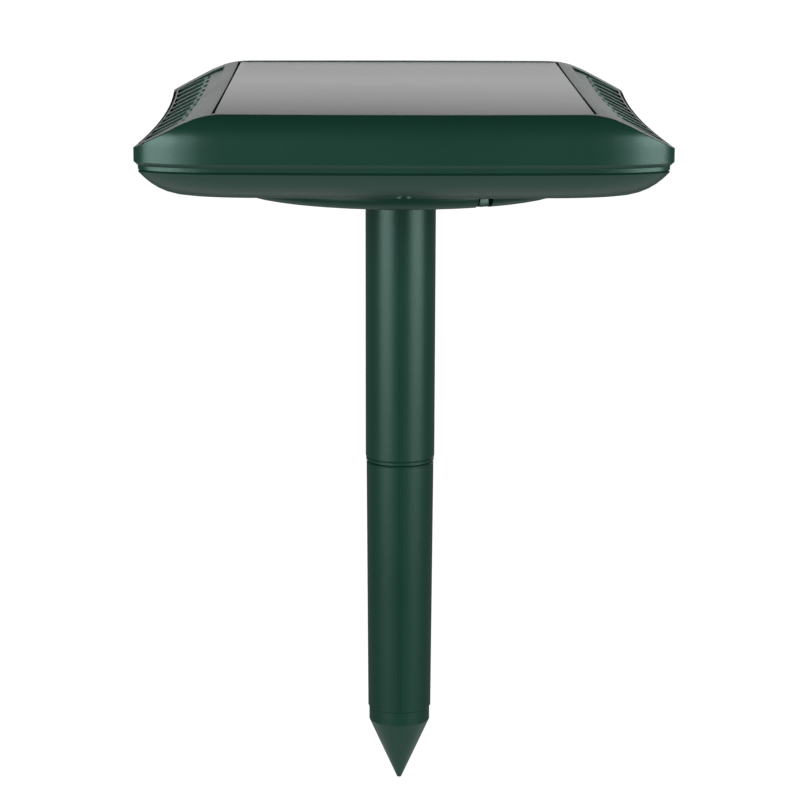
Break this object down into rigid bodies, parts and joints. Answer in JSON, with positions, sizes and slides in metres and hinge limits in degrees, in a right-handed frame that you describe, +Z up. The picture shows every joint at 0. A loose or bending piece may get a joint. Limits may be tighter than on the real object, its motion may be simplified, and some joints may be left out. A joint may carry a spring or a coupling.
{
  "type": "ultrasonic pest repeller",
  "caption": "Solar-powered garden stake ultrasonic pest repeller: flat square head with panel and side grilles on a two-piece tube stake with a ground point.",
  "frame": {"origin": "the point of the stake, on the tubes' axis", "axes": "+Z up along the stake, +X to the right-hand grille side, +Y to the back (battery door side); the indicator and switch are at the front, -Y"},
  "size_m": [0.15, 0.186, 0.2216],
  "materials": {
    "green_shell": "fine satin moulded texture",
    "panel_cover": "smoked clear cover",
    "silicon": "dark silicon cells",
    "board_white": "printed board",
    "board_green": "solder resist",
    "foam_tape": "foam",
    "black_rubber": "matt",
    "screw_steel": "zinc plated",
    "cell_wrap": "plain shrink wrap",
    "contact_metal": "nickel plated",
    "black_plastic": "moulded",
    "copper_wire": "enamelled copper",
    "natural_nylon": "moulded",
    "lamp_red": "tinted clear epoxy",
    "emitter_metal": "drawn can",
    "cone_card": "thin metal cone",
    "red_lead": "insulated lead",
    "black_lead": "insulated lead"
  },
  "bodies": {
    "stake_base": {"lower_tube": "green_shell", "stake_tip": "green_shell"},
    "stake_top": {"upper_tube": "green_shell"},
    "head": {"top_housing": "green_shell", "bottom_housing": "green_shell", "left_grille": "green_shell", "right_grille": "green_shell", "panel_cover": "panel_cover", "solar_cells": "silicon", "panel_board": "board_white", "panel_tape": "foam_tape", "housing_gasket": "black_rubber", "housing_screws": "screw_steel", "battery_cells": "cell_wrap", "battery_springs": "contact_metal", "battery_contacts": "contact_metal", "main_board": "board_green", "board_screws": "screw_steel", "control_chips": "black_plastic", "capacitors": "black_plastic", "drive_coils": "copper_wire", "wire_connectors": "natural_nylon", "indicator_led": "lamp_red", "switch_body": "black_plastic", "emitter_cans": "emitter_metal", "emitter_cones": "cone_card", "emitter_boots": "black_rubber", "panel_wires": "red_lead", "battery_wires": "red_lead", "emitter_wires": "black_lead", "switch_wires": "black_lead"},
    "battery_hatch": {"battery_door": "green_shell", "door_seal": "black_rubber", "door_screws": "screw_steel"},
    "power_switch": {"switch_knob": "green_shell"}
  },
  "joints": [
    {"name": "tube_pull_apart", "type": "slide", "parent": "stake_base", "child": "stake_top", "axis": [0, 0, 1], "range_m": [0, 0.017]},
    {"name": "head_lift_off", "type": "slide", "parent": "stake_top", "child": "head", "axis": [0, 0, 1], "range_m": [0, 0.018]},
    {"name": "battery_door_drop", "type": "slide", "parent": "head", "child": "battery_hatch", "axis": [0, 0, -1], "range_m": [0, 0.02]},
    {"name": "power_switch_slide", "type": "slide", "parent": "head", "child": "power_switch", "axis": [0.8871, 0.4615, 0], "range_m": [0, 0.001]}
  ]
}
